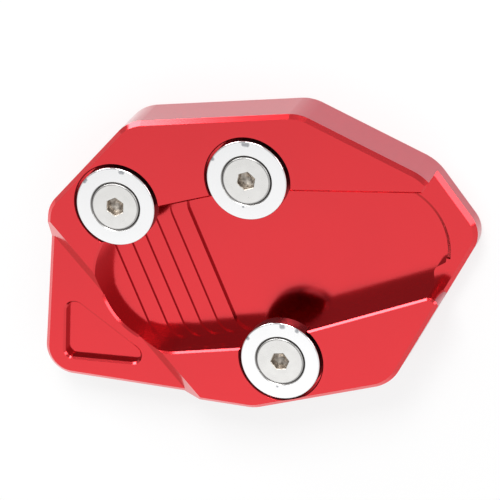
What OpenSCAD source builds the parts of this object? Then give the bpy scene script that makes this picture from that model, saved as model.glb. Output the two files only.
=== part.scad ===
// Kickstand foot enlarger: a milled aluminium base plate that clamps under the
// foot of a motorcycle side stand, with three clamp washers and three screws.
// Millimetres. The back face lies on z = 0, +Z comes out of the pocket side,
// +X runs along the longest extent, towards the open end of the pocket.

/* [Build] */

/* [Base plate] */
// Full thickness of the raised blocks
plate_thickness = 14.0;
// 45 degree chamfer round every edge of the outline, pocket side and back
edge_chamfer = 1.0;
// Outline corners, counter-clockwise: x, y, corner radius
outline = [
    [19.3, 37.8, 10], [-24.1, 37.7, 10], [-48.3, 17.0, 8], [-58.3, -27.9, 7],
    [-3.2, -37.9, 10], [32.6, -32.2, 10], [58.2, 3.0, 7], [48.2, 20.6, 12]
];

/* [Low corner] */
// Height of the low corner at the toe side
low_corner_z = 10.3;
// Top edge of its 45 degree step, from the left edge to the bottom edge
low_step_from = [-48.6, 13.53];
low_step_to = [-16.2, -34.97];
// Blind lightening recess: x, y, corner radius
recess = [[-48.9, -7.5, 2.5], [-52.1, -24.3, 2.0], [-27.5, -27.2, 2.3]];
recess_z = 8.2;

/* [Stand-foot pocket] */
// Left end of the pocket: centre and radius
heel_centre = [-21.5, -4.47];
heel_radius = 17.8;
// Lower wall: direction of its left stretch, bend and end: x, y, corner radius
lower_wall_angle = 2.15;
lower_bend = [-2.2, -21.57, 6];
lower_wall_end = [44.7, -9.87, 0.5];
// Upper wall: left corner, peak and right end: x, y, corner radius
upper_wall_start = [-24.2, 14.9, 3];
upper_peak = [2.3, 19.28, 4];
upper_wall_end = [47.2, 16.78, 0];
// Right end of the pocket, below the low rim: x, y, corner radius
toe_low = [45.1, -5.3, 2.0];
toe_end = [48.3, -3.85, 0.6];
toe_corner = [52.14, 11.51, 15.75];
toe_blend = [33.0, 17.57, 10];
// 45 degree edge break along the pocket side of the raised blocks
edge_break = 0.45;

/* [Terraced floor] */
// Height of the first terrace, its drop to the next ones, and the open floor
first_terrace_z = 5.8;
terrace_drop = 0.55;
pocket_floor_z = 2.1;
// Distance of each step from the origin, along the direction step_angle
step_offset = [-33.7, -29.45, -25.5, -21.35, -17.2, -12.8];
step_angle = 14.6;
// Cutter radius left in the corners of the steps
step_corner_radius = 5.0;

/* [Low rim] */
rim_z = 5.7;
// Short end walls of the upper and the lower block
upper_block_end = [48.7, 18.93];
lower_block_end_x = 47.15;
lower_block_corner_radius = 2.2;

/* [Clamps] */
// Axes of the three clamp screws: left, top, bottom
clamp_axis = [[-30.3, 16.53], [4.24, 21.93], [5.84, -24.94]];
washer_diameter = 20.0;
washer_thickness = 4.0;
// How far the washers stand above the raised blocks
washer_proud = 0.6;
washer_edge = 0.3;
// Clearances on the diameter: washer in counterbore, screw in washer, head in
// countersink, screw in its tapped hole
counterbore_clearance = 1.2;
washer_bore_clearance = 0.7;
countersink_clearance = 0.4;
thread_clearance = 0.1;

/* [Screws] */
screw_length = 12.0;
head_diameter = 12.0;
head_rim = 0.4;
shank_diameter = 5.9;
tapped_hole_chamfer = 0.5;
screw_tip_chamfer = 0.8;
socket_across_flats = 4.0;
socket_depth = 2.4;
socket_cone = 0.8;
socket_turn = [20, 12, 0];

/* [Hidden] */
$fn = 96;
over = 1.0;
hair = 0.002;
stand_off = 0.01;
far = 120;
terraces = len(step_offset);
floor_z = [for (k = [0 : terraces])
    k < terraces ? first_terrace_z - k * terrace_drop : pocket_floor_z];
counterbore_diameter = washer_diameter + counterbore_clearance;
washer_bore = shank_diameter + washer_bore_clearance;
countersink_mouth = head_diameter + countersink_clearance;
tapped_hole_diameter = shank_diameter + thread_clearance;
counterbore_z = plate_thickness + washer_proud - washer_thickness;
washer_top_z = counterbore_z + washer_thickness;
head_cone_top_z = washer_top_z - (countersink_mouth - head_diameter) / 2;
head_top_z = head_cone_top_z + head_rim;

// Plane geometry

function xy(p) = [p[0], p[1]];
function unit(v) = v / norm(v);
function at(list, i) = list[(i + len(list)) % len(list)];
function to_previous(c, i) = unit(xy(at(c, i - 1)) - xy(c[i]));
function to_next(c, i) = unit(xy(at(c, i + 1)) - xy(c[i]));
function half_angle(c, i) = acos(to_previous(c, i) * to_next(c, i)) / 2;
function tangent_length(c, i) = c[i][2] / tan(half_angle(c, i));
function tangent_in(c, i) = xy(c[i]) + to_previous(c, i) * tangent_length(c, i);
function tangent_out(c, i) = xy(c[i]) + to_next(c, i) * tangent_length(c, i);
function corner_centre(c, i) = xy(c[i])
    + unit(to_previous(c, i) + to_next(c, i)) * c[i][2] / sin(half_angle(c, i));
function turns_left(c, i) =
    to_next(c, i)[0] * to_previous(c, i)[1] - to_next(c, i)[1] * to_previous(c, i)[0] > 0;
function heading(v) = atan2(v[1], v[0]);
function touch_point(p, centre, r, side) =
    centre + r * [cos(heading(p - centre) + side * acos(r / norm(p - centre))),
                  sin(heading(p - centre) + side * acos(r / norm(p - centre)))];

// What lies between a round corner of centre c and the sharp one. Its arc crosses
// the two edges that it touches, so it takes a hair more than its radius.
module corner_waste(c, r, touch_1, touch_2, corner) {
    difference() {
        polygon([c, c + (touch_1 - c) * (1 + over / r), c + (corner - c) * (1 + 2 * over / r),
                 c + (touch_2 - c) * (1 + over / r)]);
        translate(c) circle(r = r + hair);
    }
}

// A corner list, counter-clockwise, with every corner rounded by a true arc
module rounded_shape(c) {
    difference() {
        union() {
            polygon([for (p = c) xy(p)]);
            for (i = [0 : len(c) - 1]) if (c[i][2] > 0 && !turns_left(c, i)) list_waste(c, i);
        }
        for (i = [0 : len(c) - 1]) if (c[i][2] > 0 && turns_left(c, i)) list_waste(c, i);
    }
}

module list_waste(c, i) {
    corner_waste(corner_centre(c, i), c[i][2], tangent_in(c, i), tangent_out(c, i), xy(c[i]));
}

// Blank of the plate, up to height h, with its upper edges chamfered

module chamfer_section(size) {
    reach = size + over;
    polygon([[over, -over], [over, reach], [-reach, reach]]);
}

// Along the top edge from a to b at height h, with the metal on its left
module edge_wedge(a, b, h, size) {
    run = unit(b - a);
    translate([b[0], b[1], h - size])
        rotate([90, 0, heading(run) - 90])
            linear_extrude(height = norm(b - a)) chamfer_section(size);
}

// Runs well past both ends of its side, where the corners fall away from it
module side_chamfer(i, h) {
    past = 15 * to_next(outline, i);
    edge_wedge(tangent_out(outline, i) - past,
               tangent_in(outline, (i + 1) % len(outline)) + past, h, edge_chamfer);
}

// Stands off by a hundredth of a millimetre, so it crosses its neighbours cleanly
module corner_chamfer(list, i, h, size) {
    c = corner_centre(list, i);
    from = heading(tangent_in(list, i) - c);
    turn = 180 - 2 * half_angle(list, i);
    translate([c[0], c[1], h - size]) rotate([0, 0, from])
        rotate_extrude(angle = turn)
            translate([list[i][2] + stand_off, 0]) chamfer_section(size);
}

module edge_chamfers(h) {
    for (i = [0 : len(outline) - 1]) {
        side_chamfer(i, h);
        corner_chamfer(outline, i, h, edge_chamfer);
    }
}

module blank(h) {
    difference() {
        linear_extrude(height = h) rounded_shape(outline);
        edge_chamfers(h);
    }
}

// Low corner with its 45 degree step

module low_corner_cut() {
    run = low_step_to - low_step_from;
    past = 30;
    end = low_step_to + unit(run) * past;
    foot_z = low_corner_z - 2 * edge_chamfer;
    difference() {
        translate([end[0], end[1], 0])
            rotate([90, 0, heading(run) - 90])
                linear_extrude(height = norm(run) + 2 * past)
                    polygon([[-over, plate_thickness + over],
                             [plate_thickness - foot_z, foot_z],
                             [far, foot_z],
                             [far, plate_thickness + over]]);
        blank(low_corner_z);
    }
}

module recess_cut() {
    translate([0, 0, recess_z])
        linear_extrude(height = plate_thickness) rounded_shape(recess);
}

// Stand-foot pocket

function heel_low() =
    heel_centre + heel_radius * [sin(lower_wall_angle), -cos(lower_wall_angle)];
function heel_high() = touch_point(xy(upper_wall_start), heel_centre, heel_radius, 1);
function pocket_corners() = [
    [heel_low()[0], heel_low()[1], 0], lower_bend, lower_wall_end, toe_low, toe_end,
    toe_corner, toe_blend, upper_peak, upper_wall_start, [heel_high()[0], heel_high()[1], 0]
];

module pocket_shape() {
    translate(heel_centre) circle(r = heel_radius + hair, $fn = 180);
    rounded_shape(pocket_corners());
}

function step_normal() = [cos(step_angle), sin(step_angle)];
function step_along() = [-sin(step_angle), cos(step_angle)];

// Centre of the corner arc between step k and a straight wall through w, whose
// normal m points into the pocket
function corner_on_line(k, w, m) =
    let (base = (step_offset[k] + step_corner_radius) * step_normal(),
         s = (step_corner_radius - (base - w) * m) / (step_along() * m))
    base + s * step_along();
// The same on the arc of the heel: side 1 is the upper end, side -1 the lower one
function corner_on_heel(k, side) =
    let (base = (step_offset[k] + step_corner_radius) * step_normal(),
         q = base - heel_centre,
         along = q * step_along(),
         reach = heel_radius + 2 * hair - step_corner_radius)
    base + (-along + side * sqrt(reach * reach - q * q + along * along)) * step_along();

module corner_left_standing(c, wall_point) {
    step_point = c - step_corner_radius * step_normal();
    corner_waste(c, step_corner_radius, step_point, wall_point,
                 step_point + wall_point - c);
}

module step_corners(k) {
    lower_normal = [-sin(lower_wall_angle), cos(lower_wall_angle)];
    upper_run = unit(xy(upper_peak - upper_wall_start));
    upper_normal = [upper_run[1], -upper_run[0]];
    low_c = k < 2 ? corner_on_heel(k, -1) : corner_on_line(k, xy(lower_bend), lower_normal);
    corner_left_standing(low_c, k < 2
        ? heel_centre + heel_radius * unit(low_c - heel_centre)
        : low_c - step_corner_radius * lower_normal);
    if (k > 3) {
        high_c = corner_on_line(k, xy(upper_peak), upper_normal);
        corner_left_standing(high_c, high_c - step_corner_radius * upper_normal);
    }
}

module right_of_step(k) {
    rotate([0, 0, step_angle]) translate([step_offset[k], -far / 2]) square([far, far]);
}

module pocket_cut() {
    translate([0, 0, floor_z[0]])
        linear_extrude(height = plate_thickness) pocket_shape();
    for (k = [0 : len(step_offset) - 1])
        translate([0, 0, floor_z[k + 1]])
            linear_extrude(height = floor_z[k] - floor_z[k + 1] + over)
                difference() {
                    intersection() {
                        pocket_shape();
                        right_of_step(k);
                    }
                    step_corners(k);
                }
}

// Low rim round the right end of the pocket

function lower_wall_run() = unit(xy(lower_wall_end - lower_bend));
function lower_block_corner() =
    let (slope = lower_wall_run()[1] / lower_wall_run()[0])
    [lower_block_end_x, lower_wall_end[1] + slope * (lower_block_end_x - lower_wall_end[0])];

module rim_shape() {
    wall_slope = lower_wall_run()[1] / lower_wall_run()[0];
    corner_y = lower_block_corner()[1];
    inner_x = 30;
    past_outline = 8;
    // The rim's edges lean a little into the pocket from its walls
    upper_lean = 0.06;
    lower_lean = 0.3;
    end_run = upper_block_end - xy(upper_wall_end);
    past_block = xy(upper_wall_end) + end_run * 4;
    top_run = xy(upper_wall_end - upper_peak);
    rounded_shape([
        [lower_block_end_x, corner_y - past_outline, 0],
        [far, corner_y - past_outline, 0],
        [far, past_block[1], 0],
        [past_block[0], past_block[1], 0],
        upper_wall_end,
        [inner_x,
         upper_peak[1] + top_run[1] / top_run[0] * (inner_x - upper_peak[0]) - upper_lean, 0],
        [inner_x, corner_y + wall_slope * (inner_x - lower_block_end_x) + lower_lean, 0],
        [lower_block_end_x, corner_y, lower_block_corner_radius]
    ]);
}

module rim_cut() {
    difference() {
        translate([0, 0, rim_z - 2 * edge_chamfer])
            linear_extrude(height = plate_thickness) rim_shape();
        blank(rim_z);
    }
}

// Edge breaks of the raised blocks, along the pocket and the rim

module round_break(c, r) {
    mouth = r + hair + stand_off;
    translate([c[0], c[1], plate_thickness - edge_break - over])
        cylinder(r1 = mouth - over, r2 = mouth + edge_break + over / 2,
                 h = edge_break + 1.5 * over, $fn = 180);
}

module edge_breaks() {
    c = pocket_corners();
    past = 6;
    into_seat = 3.5;
    h = plate_thickness;
    block_corner = lower_block_corner();
    lower_block = [[block_corner[0], block_corner[1] - past, 0],
                   [block_corner[0], block_corner[1], lower_block_corner_radius],
                   lower_bend];
    round_break(heel_centre, heel_radius);
    round_break(corner_centre(c, 1), lower_bend[2]);
    edge_wedge(tangent_in(c, 1), xy(c[0]), h, edge_break);
    edge_wedge(block_corner + past * lower_wall_run(), tangent_out(c, 1), h, edge_break);
    edge_wedge(block_corner - [0, 2 * past], block_corner + [0, past], h, edge_break);
    corner_chamfer(lower_block, 1, h, edge_break);
    edge_wedge(xy(upper_wall_start) + into_seat * to_previous(c, 8), xy(upper_peak), h,
               edge_break);
    edge_wedge(xy(upper_peak), xy(upper_wall_end) - past * to_next(c, 6), h, edge_break);
    edge_wedge(xy(upper_wall_end) - past * unit(upper_block_end - xy(upper_wall_end)),
               upper_block_end + past * unit(upper_block_end - xy(upper_wall_end)),
               h, edge_break);
}

// Clamp seats and tapped holes

// One stepped tool: chamfer at the back, tapped hole, counterbore
module clamp_cuts() {
    hole = tapped_hole_diameter / 2;
    bore = counterbore_diameter / 2;
    mouth = hole + tapped_hole_chamfer + over;
    top = plate_thickness + over;
    for (p = clamp_axis) translate([p[0], p[1], 0])
        rotate_extrude()
            polygon([[0, -over], [mouth, -over], [hole, tapped_hole_chamfer],
                     [hole, counterbore_z], [bore, counterbore_z], [bore, top], [0, top]]);
}

// Sub-parts

module base_plate() {
    difference() {
        blank(plate_thickness);
        mirror([0, 0, 1]) edge_chamfers(0);
        low_corner_cut();
        recess_cut();
        rim_cut();
        pocket_cut();
        edge_breaks();
        clamp_cuts();
    }
}

module clamp_washer(p) {
    rim = washer_diameter / 2;
    bore = washer_bore / 2;
    mouth = countersink_mouth / 2;
    t = washer_thickness;
    translate([p[0], p[1], counterbore_z]) difference() {
        rotate_extrude()
            polygon([[0, 0], [rim - washer_edge, 0], [rim, washer_edge],
                     [rim, t - washer_edge], [rim - washer_edge, t], [0, t]]);
        rotate_extrude()
            polygon([[0, -over], [bore, -over], [bore, t - (mouth - bore)],
                     [mouth + over, t + over], [0, t + over]]);
    }
}

module clamp_screw(p, turn) {
    head = head_diameter / 2;
    shank = shank_diameter / 2;
    tip_z = head_top_z - screw_length;
    floor_of_socket = head_top_z - socket_depth;
    drill = 0.45 * socket_across_flats;
    drill_tip = 0.05;
    translate([p[0], p[1], 0]) difference() {
        rotate_extrude()
            polygon([[0, tip_z], [shank - screw_tip_chamfer, tip_z],
                     [shank, tip_z + screw_tip_chamfer],
                     [shank, head_cone_top_z - (head - shank)], [head, head_cone_top_z],
                     [head, head_top_z], [0, head_top_z]]);
        translate([0, 0, floor_of_socket]) rotate([0, 0, turn])
            cylinder(d = socket_across_flats / cos(30), h = socket_depth + over, $fn = 6);
        translate([0, 0, floor_of_socket])
            rotate_extrude()
                polygon([[0, -socket_cone], [drill_tip, -socket_cone], [drill, 0],
                         [drill, socket_depth / 2], [0, socket_depth / 2]]);
    }
}

module washer_left() { clamp_washer(clamp_axis[0]); }
module washer_top() { clamp_washer(clamp_axis[1]); }
module washer_bottom() { clamp_washer(clamp_axis[2]); }
module screw_left() { clamp_screw(clamp_axis[0], socket_turn[0]); }
module screw_top() { clamp_screw(clamp_axis[1], socket_turn[1]); }
module screw_bottom() { clamp_screw(clamp_axis[2], socket_turn[2]); }

base_plate();
washer_left();
washer_top();
washer_bottom();
screw_left();
screw_top();
screw_bottom();
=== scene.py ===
# %% [markdown]
# # A kickstand foot enlarger in red anodised aluminium
# The part is a milled plate that clamps under the foot of a motorcycle side stand. It has
# a terraced pocket, three bright clamp washers and three countersunk hex socket screws.
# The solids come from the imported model, at true size in metres. This script gives them
# their finishes, adds the fine work that the solids leave out, and sets the studio.

# %% Load the solids
import math

import bmesh
import bpy
from mathutils import Matrix, Vector


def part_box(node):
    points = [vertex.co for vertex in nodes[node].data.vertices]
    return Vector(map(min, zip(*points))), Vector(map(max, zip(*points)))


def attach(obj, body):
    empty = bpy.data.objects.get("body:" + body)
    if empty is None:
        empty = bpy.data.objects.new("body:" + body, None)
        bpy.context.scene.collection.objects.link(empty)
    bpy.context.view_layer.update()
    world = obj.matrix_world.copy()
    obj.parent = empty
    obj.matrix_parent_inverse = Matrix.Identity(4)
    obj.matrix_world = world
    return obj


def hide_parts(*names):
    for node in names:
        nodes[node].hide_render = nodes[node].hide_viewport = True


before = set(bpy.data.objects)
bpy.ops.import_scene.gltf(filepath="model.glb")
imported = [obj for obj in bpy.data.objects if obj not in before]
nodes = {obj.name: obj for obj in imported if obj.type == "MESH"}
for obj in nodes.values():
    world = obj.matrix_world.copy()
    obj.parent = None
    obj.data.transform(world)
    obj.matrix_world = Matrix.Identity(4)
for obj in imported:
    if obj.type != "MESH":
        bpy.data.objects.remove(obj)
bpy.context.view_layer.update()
print("solids:", ", ".join(sorted(nodes)))

# %% [markdown]
# ## Sizes from the solids
# The fine work has to fit the solids, so the heights and centres that it needs are
# measured from their boxes and not typed a second time. They are kept in millimetres, as
# a maker reads them, and rounded to a thousandth, which takes off the stored numbers'
# last stray digits. Places inside the plate, such as its recess, can't be read from a
# box, so they are named further down, where they are used.

# %% Measure the solids
MM = 0.001


def measure(node):
    return [[round(value / MM, 3) for value in corner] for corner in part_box(node)]


def centre_of(node):
    low, high = measure(node)
    return round((low[0] + high[0]) / 2, 3), round((low[1] + high[1]) / 2, 3)


CLAMPS = {side: centre_of("washer_" + side) for side in ("left", "top", "bottom")}
washer_low, washer_high = measure("washer_left")
screw_low, screw_high = measure("screw_left")
PLATE_TOP = measure("base_plate")[1][2]
SEAT = washer_low[2]
WASHER_TOP = washer_high[2]
WASHER_RIM = round((washer_high[0] - washer_low[0]) / 2, 3)
SCREW_TIP = screw_low[2]
HEAD_TOP = screw_high[2]
print("clamps:", CLAMPS)
print("heights: plate", PLATE_TOP, "washers", SEAT, WASHER_TOP, "screws", SCREW_TIP, HEAD_TOP)

# %% [markdown]
# ## The camera
# The photograph was taken from far away with a long lens, from above the open end of the
# pocket. A long lens at the right distance gives the same faint perspective. The camera
# is turned so that its up direction is the picture's, which is simpler than three angles.

# %% Place the camera
CAMERA_PLACE = Vector((276.0, 285.0, 762.9)) * MM
LOOKS_AT = Vector((2.3, 4.0, 14.0)) * MM
PICTURE_UP = Vector((0.0293, 0.9323, -0.3605))
SENSOR_WIDTH = 36.0
LONG_LENS = 252.0
FARTHEST_SEEN = 20.0

camera_data = bpy.data.cameras.new("product_camera")
camera = bpy.data.objects.new("product_camera", camera_data)
bpy.context.scene.collection.objects.link(camera)
back = (CAMERA_PLACE - LOOKS_AT).normalized()
right = PICTURE_UP.cross(back).normalized()
up = back.cross(right)
camera_turn = Matrix((right, up, back)).transposed().to_4x4()
camera.matrix_world = Matrix.Translation(CAMERA_PLACE) @ camera_turn
camera_data.sensor_width = SENSOR_WIDTH
camera_data.lens = LONG_LENS
camera_data.clip_end = FARTHEST_SEEN
bpy.context.scene.camera = camera
print("camera", round((CAMERA_PLACE - LOOKS_AT).length, 3), "m from the plate")

# %% [markdown]
# ## Helpers for shader nodes
# Every material, and the room later on, is a small net of nodes. These helpers only save
# typing: they start an empty net, add a node, join two sockets, stretch one range of
# numbers over another, or calculate with numbers and other nodes' results.

# %% Shader node helpers
def start_nodes(owner):
    owner.use_nodes = True
    owner.node_tree.nodes.clear()
    return owner


def add_node(owner, kind, **settings):
    node = owner.node_tree.nodes.new(kind)
    for key, value in settings.items():
        setattr(node, key, value)
    return node


def join(owner, source, target):
    owner.node_tree.links.new(source, target)


def stretch(owner, value, span, result=(0.0, 1.0), fade="LINEAR"):
    node = add_node(owner, "ShaderNodeMapRange", interpolation_type=fade)
    node.inputs["From Min"].default_value = span[0]
    node.inputs["From Max"].default_value = span[1]
    node.inputs["To Min"].default_value = result[0]
    node.inputs["To Max"].default_value = result[1]
    join(owner, value, node.inputs["Value"])
    return node.outputs["Result"]


def calculate(owner, operation, *values):
    node = add_node(owner, "ShaderNodeMath", operation=operation)
    for value, socket in zip(values, node.inputs):
        if isinstance(value, bpy.types.NodeSocket):
            join(owner, value, socket)
        else:
            socket.default_value = value
    return node.outputs["Value"]


# %% [markdown]
# ## Helpers for metal
# Each finish is one metallic Principled shader with procedural detail in front of it. No
# real metal is equally glossy all over, so every finish here has a soft cloud of noise in
# its roughness. The plain roughness behind the cloud is the middle of its range.

# %% Metal helpers
CLOUD_SPAN = (0.3, 0.7)


def noise(material, scale, detail):
    place = add_node(material, "ShaderNodeTexCoord")
    texture = add_node(material, "ShaderNodeTexNoise")
    texture.inputs["Scale"].default_value = scale
    texture.inputs["Detail"].default_value = detail
    join(material, place.outputs["Object"], texture.inputs["Vector"])
    return texture.outputs["Fac"]


def two_colours(material, value, low, high):
    blend = add_node(material, "ShaderNodeMix", data_type="RGBA")
    blend.inputs["A"].default_value = (*low, 1.0)
    blend.inputs["B"].default_value = (*high, 1.0)
    join(material, value, blend.inputs["Factor"])
    return blend.outputs["Result"]


def bump(material, value, depth):
    relief = add_node(material, "ShaderNodeBump")
    relief.inputs["Strength"].default_value = 1.0
    relief.inputs["Distance"].default_value = depth
    join(material, value, relief.inputs["Height"])
    return relief.outputs["Normal"]


def metal(name, colour, roughness, cloud_scale, cloud_detail=3.0):
    material = start_nodes(bpy.data.materials.new(name))
    out = add_node(material, "ShaderNodeOutputMaterial")
    shader = add_node(material, "ShaderNodeBsdfPrincipled")
    shader.inputs["Base Color"].default_value = (*colour, 1.0)
    shader.inputs["Metallic"].default_value = 1.0
    shader.inputs["Roughness"].default_value = sum(roughness) / 2
    cloud = noise(material, cloud_scale, cloud_detail)
    join(material, stretch(material, cloud, CLOUD_SPAN, roughness), shader.inputs["Roughness"])
    join(material, shader.outputs["BSDF"], out.inputs["Surface"])
    return material, shader


# %% [markdown]
# ## Red anodised aluminium
# Anodising grows a clear, hard, dyed skin on the metal. The dye colours the metal's
# reflection and the skin adds a thin uncoloured gloss, which takes over at low angles.
# So the shader is a red metal under a clear coat. A very fine grain keeps it satin. The upright
# walls are given a deeper red than the faces, which is painted shade, so the slope of the
# surface picks between a shaded and a lit red.

# %% Make the red finish
FACE_RED = (0.78, 0.010, 0.020)
# The deeper wall red is painted shade on the upright walls, not a colour of the metal.
SHADED_WALL_RED = (0.47, 0.004, 0.030)
SHADED_WALL_TO_FACE = (0.25, 0.6)
RED_ROUGHNESS = (0.13, 0.19)
RED_CLOUD = 55.0
GRAIN = 5200.0
GRAIN_DETAIL = 2.0
GRAIN_DEPTH = 0.0000010
SKIN_WEIGHT = 0.9
SKIN_ROUGHNESS = 0.12
SKIN_IOR = 1.55


def flatness(material):
    place = add_node(material, "ShaderNodeTexCoord")
    parts = add_node(material, "ShaderNodeSeparateXYZ")
    join(material, place.outputs["Normal"], parts.inputs["Vector"])
    upright = calculate(material, "ABSOLUTE", parts.outputs["Z"])
    return stretch(material, upright, SHADED_WALL_TO_FACE)


def red_finish(name):
    material, shader = metal(name, FACE_RED, RED_ROUGHNESS, RED_CLOUD)
    red = two_colours(material, flatness(material), SHADED_WALL_RED, FACE_RED)
    join(material, red, shader.inputs["Base Color"])
    grain = bump(material, noise(material, GRAIN, GRAIN_DETAIL), GRAIN_DEPTH)
    join(material, grain, shader.inputs["Normal"])
    shader.inputs["Coat Weight"].default_value = SKIN_WEIGHT
    shader.inputs["Coat Roughness"].default_value = SKIN_ROUGHNESS
    shader.inputs["Coat IOR"].default_value = SKIN_IOR
    return material


red_plate = red_finish("red_plate")
print("finish:", red_plate.name)

# %% [markdown]
# ## The plate's broken edges
# A deburring tool has taken the sharp edges off the recess, the low corner, the toe of the
# pocket and the counterbores. The solid keeps them sharp, so a copy of it is cut with thin
# three-cornered wedges swept along those edges, and the copy stands for the solid. Exact
# booleans keep the flat faces flat, which a bevel modifier on a fine mesh would not do.

# %% Make a piece from its corners
def new_object(name, mesh):
    piece = bpy.data.objects.new(name, mesh)
    bpy.context.scene.collection.objects.link(piece)
    return piece


def new_piece(name, verts, faces):
    mesh = bpy.data.meshes.new(name)
    mesh.from_pydata([Vector(vert) * MM for vert in verts], [], faces)
    made = bmesh.new()
    made.from_mesh(mesh)
    bmesh.ops.recalc_face_normals(made, faces=made.faces)
    made.to_mesh(mesh)
    made.free()
    return new_object(name, mesh)


# %% [markdown]
# A path is a row of points along an edge, each with the direction that leads out of the
# hollow and into the metal. A wedge has three corners at every point of its path. It
# reaches a little past the edge on both sides, so that it never shares a face with the
# plate.

# %% Sweep a wedge along a path
WEDGE_PAST = 0.25


def arc_path(centre, radius, start, stop, steps):
    path = []
    for step in range(steps):
        angle = math.radians(start + (stop - start) * step / (steps - 1))
        away = Vector((math.cos(angle), math.sin(angle), 0))
        path.append((Vector(centre).to_3d() + away * radius, away))
    return path


def wedge(name, path, height, size, closed):
    verts = []
    for point, away in path:
        inner = point - away * WEDGE_PAST
        outer = point + away * (size + WEDGE_PAST)
        verts.append((inner.x, inner.y, height - size - WEDGE_PAST))
        verts.append((outer.x, outer.y, height + WEDGE_PAST))
        verts.append((inner.x, inner.y, height + WEDGE_PAST))
    count = len(path)
    faces = []
    for number in range(count if closed else count - 1):
        here = 3 * number
        ahead = 3 * ((number + 1) % count)
        for side in range(3):
            turned = (side + 1) % 3
            faces.append((here + side, here + turned, ahead + turned, ahead + side))
    if not closed:
        faces.append((0, 1, 2))
        faces.append((3 * count - 3, 3 * count - 2, 3 * count - 1))
    return new_piece(name, verts, faces)


# %% [markdown]
# The recess is a triangle whose corners are rounded by the mill. Its path is the three
# arcs in turn, and the straight sides between them come by themselves.

# %% Follow the rounded recess
RECESS = [((-48.9, -7.5), 2.5), ((-52.1, -24.3), 2.0), ((-27.5, -27.2), 2.3)]
CORNER_STEPS = 12


def rounded_corner(before, corner, after, radius, steps):
    to_before = (Vector(before) - Vector(corner)).normalized()
    to_after = (Vector(after) - Vector(corner)).normalized()
    half = to_before.angle(to_after) / 2
    centre = Vector(corner) + (to_before + to_after).normalized() * radius / math.sin(half)
    touch_in = Vector(corner) + to_before * radius / math.tan(half)
    start = math.degrees(math.atan2(*(touch_in - centre).yx))
    return arc_path(centre, radius, start, start + 180 - 2 * math.degrees(half), steps)


recess_path = []
for number, (corner, radius) in enumerate(RECESS):
    before = RECESS[number - 1][0]
    after = RECESS[(number + 1) % len(RECESS)][0]
    recess_path += rounded_corner(before, corner, after, radius, CORNER_STEPS)
print("recess edge:", len(recess_path), "points")

# %% [markdown]
# The toe of the pocket is one arc that runs into the low rim, and the low corner meets the
# round heel on a short arc. Their wedges stop before the walls that stand next to them.
# Each counterbore is a full circle, whose last point comes just before its first.

# %% Make the wedges
LOW_CORNER = 10.3
LOW_RIM = 5.7
EDGE_BREAK = 0.5
TOE_BREAK = 1.0
TOE_END = (48.3, -3.85)
TOE_CORNER = (52.14, 11.51)
TOE_BLEND = (33.0, 17.57)
TOE_RADIUS = 15.75
TOE_STEPS = 40
HEEL_CENTRE = (-21.5, -4.47)
HEEL_RADIUS = 17.8
HEEL_LOW_ARC = (191.5, 236.0)
HEEL_STEPS = 24
SEAT_CLEARANCE = 0.6
COUNTERBORE_RADIUS = WASHER_RIM + SEAT_CLEARANCE
COUNTERBORE_BREAK = 0.25
CIRCLE_STEPS = 120

toe_path = rounded_corner(TOE_END, TOE_CORNER, TOE_BLEND, TOE_RADIUS, TOE_STEPS)
heel_path = arc_path(HEEL_CENTRE, HEEL_RADIUS, *HEEL_LOW_ARC, HEEL_STEPS)
wedges = [
    wedge("recess_wedge", recess_path, LOW_CORNER, EDGE_BREAK, True),
    wedge("toe_wedge", toe_path, LOW_RIM, TOE_BREAK, False),
    wedge("heel_wedge", heel_path, LOW_CORNER, EDGE_BREAK, False),
]
for name, centre in CLAMPS.items():
    last_angle = 360 - 360 / CIRCLE_STEPS
    circle = arc_path(centre, COUNTERBORE_RADIUS, 0, last_angle, CIRCLE_STEPS)
    wedges.append(wedge(name + "_seat_wedge", circle, PLATE_TOP, COUNTERBORE_BREAK, True))
print("wedges:", len(wedges))

# %% [markdown]
# The copy of the plate is built again from the solid's points and faces, and points that lie in
# one place are joined, since a boolean needs a closed skin. The count of open edges is printed.

# %% Copy the plate and cut it
SAME_PLACE = 1e-7


def apply_modifiers(piece):
    graph = bpy.context.evaluated_depsgraph_get()
    finished = bpy.data.meshes.new_from_object(piece.evaluated_get(graph))
    piece.modifiers.clear()
    piece.data = finished


solid = nodes["base_plate"].data
plate_mesh = bpy.data.meshes.new("dressed_plate")
plate_mesh.from_pydata([vertex.co for vertex in solid.vertices], [],
                       [tuple(polygon.vertices) for polygon in solid.polygons])
dressed_plate = new_object("dressed_plate", plate_mesh)
skin = bmesh.new()
skin.from_mesh(plate_mesh)
bmesh.ops.remove_doubles(skin, verts=skin.verts, dist=SAME_PLACE)
open_edges = sum(1 for edge in skin.edges if not edge.is_manifold)
skin.to_mesh(plate_mesh)
skin.free()
print("plate mesh:", len(plate_mesh.polygons), "faces,", open_edges, "open edges")
for tool in wedges:
    cut = dressed_plate.modifiers.new(tool.name, "BOOLEAN")
    cut.operation = "DIFFERENCE"
    cut.solver = "EXACT"
    cut.object = tool
apply_modifiers(dressed_plate)
for tool in wedges:
    bpy.data.objects.remove(tool)

# %% [markdown]
# Shading every face smooth would make the flat faces look dented next to the round ones.
# So edges that turn by more than a set angle stay sharp, and the large flat faces decide
# the shading of the small ones beside them.

# %% Smooth the round faces and keep the flat ones flat
SHARP_ANGLE = math.radians(24)
FULL_WEIGHT = 100


def smooth_rounds(piece):
    piece.data.shade_smooth()
    piece.data.set_sharp_from_angle(angle=SHARP_ANGLE)
    weigh = piece.modifiers.new("weigh", "WEIGHTED_NORMAL")
    weigh.keep_sharp = True
    weigh.weight = FULL_WEIGHT
    apply_modifiers(piece)


smooth_rounds(dressed_plate)
dressed_plate.data.materials.clear()
dressed_plate.data.materials.append(red_plate)
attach(dressed_plate, "root")
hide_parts("base_plate")
print("dressed plate:", len(dressed_plate.data.polygons), "faces")

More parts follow.
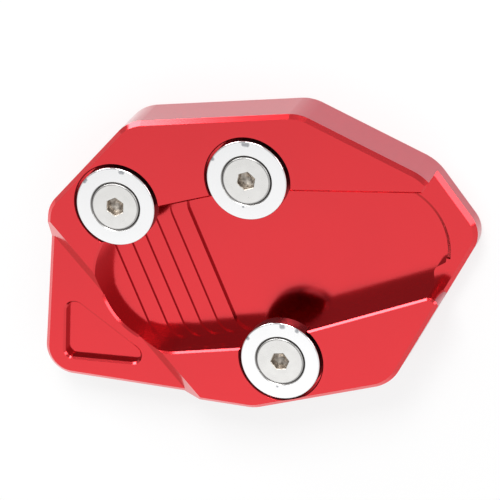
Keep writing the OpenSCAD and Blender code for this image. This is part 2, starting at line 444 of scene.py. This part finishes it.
# %% [markdown]
# ## Bright turned washers
# The washers are turned aluminium, brighter than the screws. Turning leaves rings so fine
# that they only soften the gloss. Modelled rings would be far thinner than a pixel, so
# they are a wave in the bump instead, centred on each washer's axis. The scale of the
# wave gives about six rings to the millimetre.

# %% Make the turned rings
RING_SCALE = 1909.85
RING_WOBBLE = 0.4
RING_DEPTH = 0.0000012


def turned_rings(material, centre):
    place = add_node(material, "ShaderNodeTexCoord")
    centred = add_node(material, "ShaderNodeMapping")
    centred.inputs["Location"].default_value = (-centre[0] * MM, -centre[1] * MM, 0.0)
    rings = add_node(material, "ShaderNodeTexWave", wave_type="RINGS", rings_direction="Z")
    rings.inputs["Scale"].default_value = RING_SCALE
    rings.inputs["Distortion"].default_value = RING_WOBBLE
    join(material, place.outputs["Object"], centred.inputs["Vector"])
    join(material, centred.outputs["Vector"], rings.inputs["Vector"])
    return bump(material, rings.outputs["Fac"], RING_DEPTH)


print("turned rings:", RING_DEPTH / MM, "mm deep")

# %% [markdown]
# Small grey spots darken the colour near the rim of each washer. They could be painted on a
# picture that is wrapped round it, but soft spots with ragged edges need no picture and stay
# crisp up close. A spot is given by its angle and radius on the washer's top and by its size,
# and spots that overlap run together into one patch.

# %% Place the grey spots
# Each washer's grey spots only darken its colour at the listed places.
GREY_SPOTS = {
    "left": [(72, 9.3, 0.5), (69, 9.3, 0.5), (135, 9.7, 0.5), (132, 9.7, 0.4)],
    "top": [(86, 9.2, 0.5), (83, 9.2, 0.55), (80, 9.2, 0.5), (143, 9.7, 0.5),
            (255, 6.8, 0.3)],
    "bottom": [(79, 9.2, 0.55), (77, 9.2, 0.55), (55, 9.4, 0.45), (140, 9.7, 0.5),
               (256, 6.9, 0.3)],
}
RAGGED = 900.0
RAGGED_DETAIL = 2.0


def spot_free_mask(material, centre, marks):
    place = add_node(material, "ShaderNodeTexCoord")
    ragged = noise(material, RAGGED, RAGGED_DETAIL)
    spot_free = 1.0
    for angle, radius, size in marks:
        turn = math.radians(angle)
        spot = Vector((centre[0] + radius * math.cos(turn),
                       centre[1] + radius * math.sin(turn), WASHER_TOP))
        away = add_node(material, "ShaderNodeVectorMath", operation="DISTANCE")
        away.inputs[1].default_value = spot * MM
        join(material, place.outputs["Object"], away.inputs[0])
        edge = calculate(material, "MULTIPLY_ADD", ragged, size * MM, away.outputs["Value"])
        fade = stretch(material, edge, (size * MM, 2 * size * MM), fade="SMOOTHSTEP")
        spot_free = calculate(material, "MINIMUM", spot_free, fade)
    return spot_free


print("rub marks:", sum(len(marks) for marks in GREY_SPOTS.values()), "spots")

# %% Make the washer finish
WASHER_WHITE = (0.96, 0.96, 0.965)
SPOT_GREY = (0.42, 0.43, 0.45)
WASHER_ROUGHNESS = (0.09, 0.15)
WASHER_CLOUD = 90.0


def washer_finish(name, centre, marks):
    material, shader = metal(name, WASHER_WHITE, WASHER_ROUGHNESS, WASHER_CLOUD)
    spot_free = spot_free_mask(material, centre, marks)
    colour = two_colours(material, spot_free, SPOT_GREY, WASHER_WHITE)
    join(material, colour, shader.inputs["Base Color"])
    join(material, turned_rings(material, centre), shader.inputs["Normal"])
    return material


# %% [markdown]
# ## Plain steel screws and painted shade in their seams and sockets
# The screws are stainless steel, a little grey and matt. Their sockets are painted darker, with
# pale patches, which is painted shade of the recess with painted highlights. The seam round
# each head gets a thin grey line of painted shade, and the sides, undersides and countersinks
# of the washers are painted a dark grey as painted shade. The three dull finishes keep these
# places from shining like the faces beside them.

# %% Make the steel finish and the painted shade finishes
SCREW_STEEL = (0.87, 0.86, 0.84)
SCREW_ROUGHNESS = (0.20, 0.30)
SCREW_CLOUD = 400.0
SCREW_CLOUD_DETAIL = 4.0
# The socket colours are painted shade, dark, with pale patches as painted highlights.
SOCKET_SHADE_DARK = (0.20, 0.16, 0.13)
SOCKET_HIGHLIGHT_PALE = (0.90, 0.84, 0.76)
SOCKET_ROUGHNESS = (0.3, 0.55)
SOCKET_PATCH_SCALE = 800.0
SOCKET_PATCH_DETAIL = 3.0
# The dark underside grey is painted shade on the washers' sides, undersides and countersinks.
UNDERSIDE_SHADE_GREY = (0.20, 0.17, 0.18)
# The grey seam colour is painted shade in the seam round each screw head.
SEAM_SHADE_GREY = (0.50, 0.49, 0.48)
DULL_ROUGHNESS = (0.22, 0.40)
DULL_CLOUD = 250.0


# The socket finish paints shade into the socket, broken by pale painted highlights.
def socket_shade_finish(name):
    material, shader = metal(name, SOCKET_SHADE_DARK, SOCKET_ROUGHNESS, SOCKET_PATCH_SCALE, SOCKET_PATCH_DETAIL)
    patchy = stretch(material, noise(material, SOCKET_PATCH_SCALE, SOCKET_PATCH_DETAIL), CLOUD_SPAN)
    colour = two_colours(material, patchy, SOCKET_SHADE_DARK, SOCKET_HIGHLIGHT_PALE)
    join(material, colour, shader.inputs["Base Color"])
    return material


clamp_screws, _ = metal("clamp_screws", SCREW_STEEL, SCREW_ROUGHNESS, SCREW_CLOUD,
                        SCREW_CLOUD_DETAIL)
screw_socket_shade = socket_shade_finish("screw_socket_shade")
washer_underside_shade, _ = metal("washer_underside_shade", UNDERSIDE_SHADE_GREY, DULL_ROUGHNESS, DULL_CLOUD)
seam_shade, _ = metal("seam_shade", SEAM_SHADE_GREY, DULL_ROUGHNESS, DULL_CLOUD)
print("finishes:", clamp_screws.name, screw_socket_shade.name, washer_underside_shade.name, seam_shade.name)

# %% [markdown]
# ## Turning the washers and screws
# The solids have plain chamfers and a plain shank where the real pieces have rounded
# edges and a thread, so new pieces are turned here and stand for them. Washers and screws
# come off a lathe, so each is a stack of rings around its axis. A ring is a list of points
# at one height, and neighbouring rings are joined by quads. Letting the radius change with
# the angle gives the hexagon of the socket and the screw's thread in the same way, which
# is simpler than cutting them out.

# %% Stack rings into a solid
AROUND = 96
ROUND_STEPS = 5


def ring(radius, height):
    points = []
    for step in range(AROUND):
        angle = 2 * math.pi * step / AROUND
        reach = radius(angle) if callable(radius) else radius
        points.append((reach * math.cos(angle), reach * math.sin(angle), height))
    return points


def stack(name, centre, rings, closed):
    verts = []
    for points in rings:
        verts += [(x + centre[0], y + centre[1], z) for x, y, z in points]
    faces = []
    count = len(rings)
    for level in range(count if closed else count - 1):
        low = AROUND * level
        high = AROUND * ((level + 1) % count)
        for step in range(AROUND):
            ahead = (step + 1) % AROUND
            faces.append((low + step, low + ahead, high + ahead, high + step))
    if not closed:
        faces.append(tuple(range(AROUND)))
        faces.append(tuple(range(AROUND * (count - 1), AROUND * count)))
    return new_piece(name, verts, faces)


def rounded_edge(radius, height, size, start, stop):
    rings = []
    for step in range(ROUND_STEPS + 1):
        angle = math.radians(start + (stop - start) * step / ROUND_STEPS)
        rings.append(ring(radius + size * math.cos(angle), height + size * math.sin(angle)))
    return rings


print("a ring has", len(ring(1.0, 0.0)), "points")

# %% [markdown]
# A face takes its finish from where it lies, so the next helper measures how far a face is
# from its clamp's axis, and how high. The other one gives a turned piece its materials.

# %% Tell the faces apart
def from_axis(face, centre):
    middle = face.center / MM
    return math.hypot(middle.x - centre[0], middle.y - centre[1]), middle.z


def dress(piece, centre, finishes, choose):
    for finish in finishes:
        piece.data.materials.append(finish)
    for face in piece.data.polygons:
        face.material_index = choose(*from_axis(face, centre))


# %% [markdown]
# The washer's rings go up its outside, over its rounded rim, across its top and down the
# countersink to the bore. A short chamfer leads into the countersink and carries a thin line of
# painted shade.

# %% Turn the washers
WASHER_BORE = 3.3
COUNTERSINK = 6.2
WASHER_ROUND = 0.3
MOUTH_OUT = 0.25
MOUTH_IN = 0.05
MOUTH_DEEP = 0.25
DARK_SHADED_RADIUS = COUNTERSINK - 0.1
SEAM_SHADE_RADIUS = COUNTERSINK + 0.2
POLISHED_FROM = WASHER_TOP - 0.2
# Washer faces below the polished top or inside the countersink get painted shade, and the seam
# ring a thin line of painted shade.
POLISHED, DARK_SHADED, SEAM_SHADED = range(3)


def turned_washer(name, centre):
    size = WASHER_ROUND
    rings = [ring(WASHER_BORE, SEAT)]
    rings += rounded_edge(WASHER_RIM - size, SEAT + size, size, -90, 0)
    rings += rounded_edge(WASHER_RIM - size, WASHER_TOP - size, size, 0, 90)
    rings.append(ring(COUNTERSINK + MOUTH_OUT, WASHER_TOP))
    rings.append(ring(COUNTERSINK - MOUTH_IN, WASHER_TOP - MOUTH_DEEP))
    rings.append(ring(WASHER_BORE, WASHER_TOP - (COUNTERSINK - WASHER_BORE)))
    piece = stack(name, centre, rings, True)
    smooth_rounds(piece)
    return piece


def washer_face(radius, height):
    if radius < DARK_SHADED_RADIUS or height < POLISHED_FROM:
        return DARK_SHADED
    return SEAM_SHADED if radius < SEAM_SHADE_RADIUS else POLISHED


for name, centre in CLAMPS.items():
    washer = turned_washer(name + "_washer_turned", centre)
    finish = washer_finish(name + "_washer_finish", centre, GREY_SPOTS[name])
    dress(washer, centre, [finish, washer_underside_shade, seam_shade], washer_face)
    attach(washer, "root")
    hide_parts("washer_" + name)
print("washers:", ", ".join(CLAMPS))

# %% [markdown]
# The screw's rings go up from its tip through the thread to the cone, over the head's
# rounded edge and down into the socket. The thread is the angle at work: each ring's
# radius rises and falls once around, a little further round than on the ring below. It
# fades out below the cone, as a rolled thread does.

# %% Shape the thread and the socket
SHANK_RADIUS = 2.95
THREAD_ROOT = 2.5
THREAD_PITCH = 1.0
THREAD_END = 9.5
RINGS_PER_PITCH = 8
TIP_CHAMFER = 0.4
TIP_FLAT = 0.1


def hexagon(across, turn):
    def radius(angle):
        local = (math.degrees(angle) - turn) % 60 - 30
        return across / 2 / math.cos(math.radians(local))
    return radius


def thread(height, depth):
    def radius(angle):
        phase = (height / THREAD_PITCH - angle / (2 * math.pi)) % 1.0
        return SHANK_RADIUS - depth * abs(2 * phase - 1)
    return radius


def threaded_shank():
    rings = [ring(THREAD_ROOT - TIP_CHAMFER, SCREW_TIP)]
    rings.append(ring(THREAD_ROOT, SCREW_TIP + TIP_CHAMFER))
    height = SCREW_TIP + TIP_CHAMFER + TIP_FLAT
    while height < THREAD_END:
        fade = min(1.0, (THREAD_END - height) / THREAD_PITCH)
        rings.append(ring(thread(height, (SHANK_RADIUS - THREAD_ROOT) * fade), height))
        height += THREAD_PITCH / RINGS_PER_PITCH
    return rings


print("thread:", len(threaded_shank()), "rings")

# %% Turn the screws
HEAD_RADIUS = 6.0
HEAD_CONE_TOP = 14.4
HEAD_EDGE = HEAD_TOP - HEAD_CONE_TOP
SOCKET_FLATS = 4.0
SOCKET_DEPTH = 2.4
SOCKET_TURN = {"left": 20.0, "top": 12.0, "bottom": 0.0}
SOCKET_LEAD = 0.15
DRILL_RADIUS = 0.45 * SOCKET_FLATS
DRILL_DEPTH = 0.8
DRILL_POINT = 0.05
HAIR = 0.02
# Faces inside the socket and its mouth get the socket's painted shade.
SOCKET_SHADE_RADIUS = 0.62 * SOCKET_FLATS
SOCKET_SHADE_FROM = HEAD_TOP - SOCKET_DEPTH - DRILL_DEPTH - HAIR
SOCKET_SHADE_TO = HEAD_TOP - HAIR
# The head's rounded edge above the cone gets the seam's painted shade.
SEAM_RADIUS = HEAD_RADIUS - HEAD_EDGE
STEEL, SOCKET_SHADED, SEAM = range(3)


def turned_screw(name, centre, turn):
    cone_foot = HEAD_CONE_TOP - (HEAD_RADIUS - SHANK_RADIUS)
    socket_floor = HEAD_TOP - SOCKET_DEPTH
    rings = threaded_shank()
    rings.append(ring(SHANK_RADIUS, cone_foot))
    rings.append(ring(HEAD_RADIUS - HAIR, HEAD_CONE_TOP - HAIR))
    rings += rounded_edge(HEAD_RADIUS - HEAD_EDGE, HEAD_CONE_TOP, HEAD_EDGE, 0, 90)
    rings.append(ring(hexagon(SOCKET_FLATS + 2 * SOCKET_LEAD, turn), HEAD_TOP))
    rings.append(ring(hexagon(SOCKET_FLATS, turn), HEAD_TOP - SOCKET_LEAD))
    rings.append(ring(hexagon(SOCKET_FLATS, turn), socket_floor))
    rings.append(ring(DRILL_RADIUS, socket_floor - HAIR))
    rings.append(ring(DRILL_POINT, socket_floor - DRILL_DEPTH))
    piece = stack(name, centre, rings, False)
    smooth_rounds(piece)
    return piece


def screw_face(radius, height):
    if radius < SOCKET_SHADE_RADIUS and SOCKET_SHADE_FROM < height < SOCKET_SHADE_TO:
        return SOCKET_SHADED
    return SEAM if radius > SEAM_RADIUS and height > HEAD_CONE_TOP else STEEL


for name, centre in CLAMPS.items():
    screw = turned_screw(name + "_screw_turned", centre, SOCKET_TURN[name])
    dress(screw, centre, [clamp_screws, screw_socket_shade, seam_shade], screw_face)
    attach(screw, "root")
    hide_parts("screw_" + name)
print("screws:", ", ".join(CLAMPS))

# %% [markdown]
# ## The floor
# The plate lies on white card that runs on into a white surround. The card lies a fifth
# of a millimetre below the plate's back, so that the two faces don't fight for the same
# place. It is so large that its size and its drop are given in metres.

# %% Lay the floor
CARD_HALF = 3.0
CARD_DROP = 0.0002

card_corners = [(-CARD_HALF, -CARD_HALF, 0), (CARD_HALF, -CARD_HALF, 0),
                (CARD_HALF, CARD_HALF, 0), (-CARD_HALF, CARD_HALF, 0)]
floor_mesh = bpy.data.meshes.new("floor")
floor_mesh.from_pydata(card_corners, [], [(0, 1, 2, 3)])
floor = new_object("floor", floor_mesh)
floor.location.z = -CARD_DROP
print("floor:", 2 * CARD_HALF, "m across")

# %% [markdown]
# A card that is white only from lamps needs so much light that the plate would wash out.
# So most of the card's white is its own when the camera looks at it, and a smaller share
# of it when a reflection in the metal does. The Light Path node tells the two apart. This
# white lights nothing, and the rest of the card is plain and catches a faint shadow.

# %% Colour the floor
CAMERA_SHARE = 0.76
MIRRORED_SHARE = 0.2
CARD_COLOUR = (0.95, 0.95, 0.95, 1.0)
PURE_WHITE = (1.0, 1.0, 1.0, 1.0)

white_card = start_nodes(bpy.data.materials.new("white_card"))
card_out = add_node(white_card, "ShaderNodeOutputMaterial")
card = add_node(white_card, "ShaderNodeBsdfDiffuse")
card.inputs["Color"].default_value = CARD_COLOUR
own_white = add_node(white_card, "ShaderNodeEmission")
own_white.inputs["Color"].default_value = PURE_WHITE
own_white.inputs["Strength"].default_value = 1.0
path = add_node(white_card, "ShaderNodeLightPath")
seen = calculate(white_card, "MULTIPLY", path.outputs["Is Camera Ray"], CAMERA_SHARE)
mirrored = calculate(white_card, "MULTIPLY", path.outputs["Is Glossy Ray"], MIRRORED_SHARE)
blend = add_node(white_card, "ShaderNodeMixShader")
join(white_card, calculate(white_card, "ADD", seen, mirrored), blend.inputs["Fac"])
join(white_card, card.outputs["BSDF"], blend.inputs[1])
join(white_card, own_white.outputs["Emission"], blend.inputs[2])
join(white_card, blend.outputs["Shader"], card_out.inputs["Surface"])
floor_mesh.materials.append(white_card)
print("card: own white", CAMERA_SHARE, "for the camera,", MIRRORED_SHARE, "in reflections")

# %% [markdown]
# ## The room
# Polished metal shows the room, so the room matters more than the lamps. It is pale grey.
# A brighter sheet hangs where the level faces mirror it. A darker gap beside the sheet is
# what the pocket's lower wall mirrors, which draws the dark band along that wall. A faint
# glow, low and to the picture's lower right, lifts the chamfers that face it. Real sheets
# would each need an object, so they are written into the world instead, as patches of
# brightness around one direction that fade out at their edges.

# %% Shade the room
ROOM_GREY = 0.7
SHEET_WHITE = 1.44
SHEET_TOWARDS = (-0.40, -0.50, 0.77)
SHEET_EDGE = (0.86, 1.0)
GAP_GREY = 0.6
GAP_TOWARDS = (-0.433, 0.25, 0.866)
GAP_EDGE = (0.79, 0.94)
GLOW_WHITE = 0.4
GLOW_TOWARDS = (0.62, -0.75, 0.22)
GLOW_EDGE = (0.55, 0.80)

room = start_nodes(bpy.data.worlds.new("white_surround"))
direction = add_node(room, "ShaderNodeTexCoord")


def patch(towards, edge, brightness, fade):
    facing = add_node(room, "ShaderNodeVectorMath", operation="DOT_PRODUCT")
    facing.inputs[1].default_value = Vector(towards).normalized()
    join(room, direction.outputs["Generated"], facing.inputs[0])
    return stretch(room, facing.outputs["Value"], edge, brightness, fade)


sheet = patch(SHEET_TOWARDS, SHEET_EDGE, (ROOM_GREY, SHEET_WHITE), "LINEAR")
gap = patch(GAP_TOWARDS, GAP_EDGE, (1.0, GAP_GREY), "SMOOTHSTEP")
glow = patch(GLOW_TOWARDS, GLOW_EDGE, (0.0, GLOW_WHITE), "SMOOTHSTEP")
surround = add_node(room, "ShaderNodeBackground")
room_out = add_node(room, "ShaderNodeOutputWorld")
join(room, calculate(room, "MULTIPLY_ADD", sheet, gap, glow), surround.inputs["Strength"])
join(room, surround.outputs["Background"], room_out.inputs["Surface"])
bpy.context.scene.world = room
print("room", ROOM_GREY, "sheet", SHEET_WHITE)

# %% [markdown]
# ## The soft boxes
# Each chamfer mirrors one direction to the camera, and the left and the right box hang
# where their light draws the bright lines on the chamfers. The far box, beyond the top of
# the picture, lights the plate and throws the soft shadow on the card. It hangs well below
# the camera's height angle, because a level floor and an upright wall together mirror that
# height, and it would flash in the corners of the pocket. All three face the plate, and
# are placed by an angle from the X axis, a height angle and a distance in metres.

# %% Hang the soft boxes
def soft_box(name, azimuth, elevation, distance, width, height, power):
    lamp = bpy.data.lights.new(name, "AREA")
    lamp.shape = "RECTANGLE"
    lamp.size = width
    lamp.size_y = height
    lamp.energy = power
    rise = math.radians(elevation)
    turn = math.radians(azimuth)
    level = math.cos(rise)
    place = Vector((math.cos(turn) * level, math.sin(turn) * level, math.sin(rise))) * distance
    holder = new_object(name, lamp)
    holder.location = place
    holder.rotation_euler = place.to_track_quat("Z", "Y").to_euler()
    print(name, [round(value, 3) for value in place])


soft_box("far_soft_box", azimuth=85.0, elevation=42.0, distance=1.4,
         width=0.6, height=0.6, power=12.0)
soft_box("left_soft_box", azimuth=124.5, elevation=14.0, distance=1.2,
         width=0.55, height=0.36, power=4.8)
soft_box("right_soft_box", azimuth=17.0, elevation=26.0, distance=1.2,
         width=0.55, height=0.40, power=2.1)
bpy.context.scene.view_settings.view_transform = "Standard"
